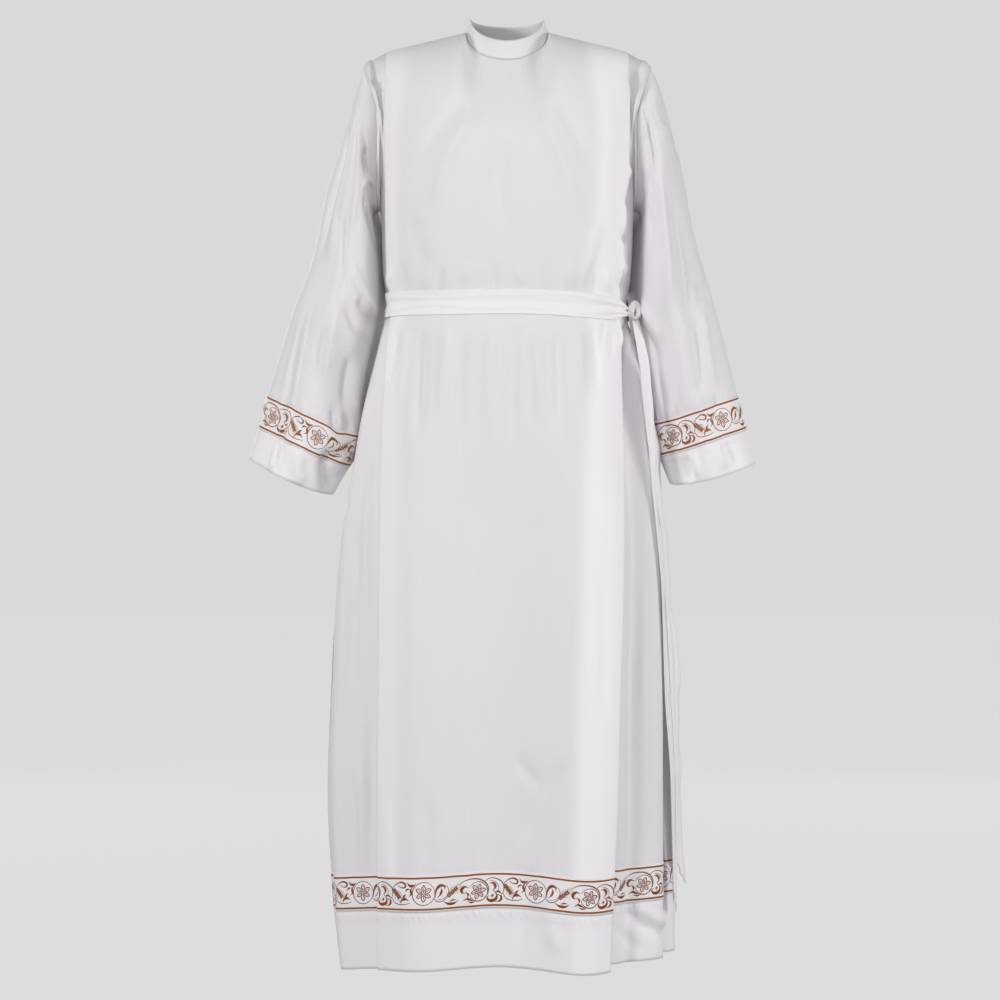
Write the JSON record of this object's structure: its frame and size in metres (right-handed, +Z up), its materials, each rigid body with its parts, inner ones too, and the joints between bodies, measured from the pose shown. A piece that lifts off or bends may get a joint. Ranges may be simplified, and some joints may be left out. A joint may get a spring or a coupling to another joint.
{
  "type": "alb",
  "caption": "Priest's white alb with knife pleats, stand collar, embroidered galloon round hem and cuffs, and a sash knotted at the side; hollow, as worn.",
  "frame": {"origin": "middle of the neck at the height where the collar meets the shoulder seams, which is where the wearer's shoulders hold the garment up", "axes": "+X to the wearer's left, +Y to the back, +Z up"},
  "size_m": [0.8086, 0.3604, 1.5123],
  "materials": {
    "cloth": "white plain-weave polyester-cotton cloth with a soft, slightly silky sheen",
    "galloon": "white satin ribbon, embroidered with golden-brown vines, flowers and wheat ears between two brown lines"
  },
  "bodies": {
    "root": {"front": "cloth", "back": "cloth", "sleeve_left": "cloth", "sleeve_right": "cloth", "collar": "cloth", "hem_band_front": "galloon", "hem_band_back": "galloon", "cuff_band_left": "galloon", "cuff_band_right": "galloon", "sash": "cloth", "sash_knot": "cloth", "sash_end_front": "cloth", "sash_end_back": "cloth"}
  },
  "joints": []
}
